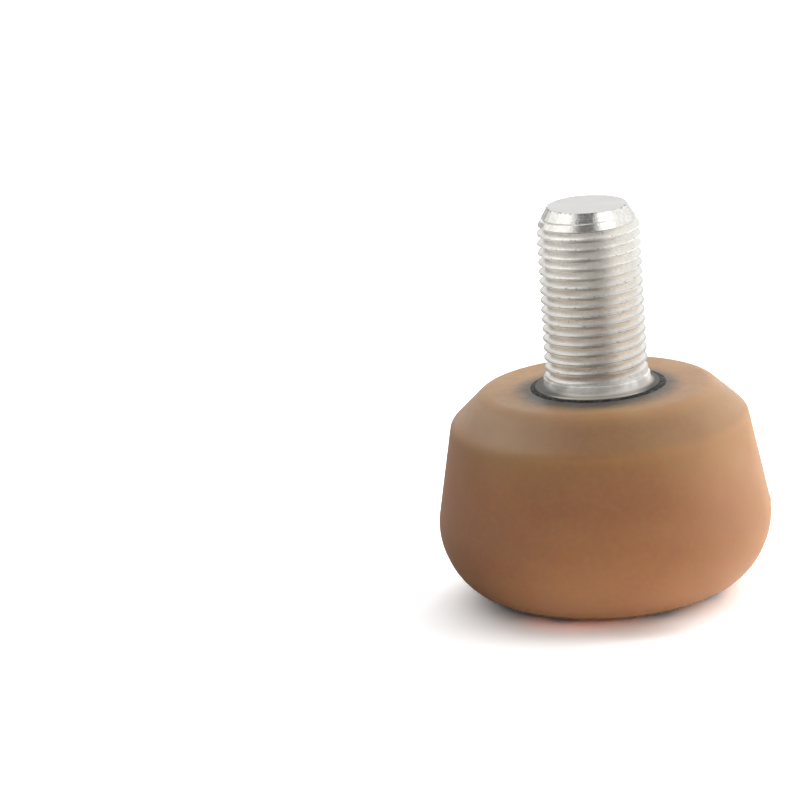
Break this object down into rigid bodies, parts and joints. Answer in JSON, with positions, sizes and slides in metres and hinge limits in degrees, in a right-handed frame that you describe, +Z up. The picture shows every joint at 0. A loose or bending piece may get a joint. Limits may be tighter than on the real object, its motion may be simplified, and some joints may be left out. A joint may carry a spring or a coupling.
{
  "type": "roller skate toe stop",
  "caption": "Toe stop for a roller skate: a flared round block of translucent rubber with a perforated resting face, moulded onto a threaded aluminium stem held by an anchor plate inside.",
  "frame": {"origin": "centre of the rubber's resting face, on the stem's axis", "axes": "+Z up the stem, away from the resting face; X and Y along the rows of the holes in that face"},
  "size_m": [0.0516, 0.0516, 0.0612],
  "materials": {
    "rubber": "satin translucent tan rubber, straight from the mould",
    "turned_aluminium": "bright turned aluminium with a cut thread",
    "plate_steel": "stamped steel, grit blasted for bonding",
    "bonding_agent": "matt black dried bonding agent"
  },
  "bodies": {
    "root": {"rubber_body": "rubber", "stem": "turned_aluminium", "anchor_plate": "plate_steel", "bond_ring": "bonding_agent"}
  },
  "joints": []
}
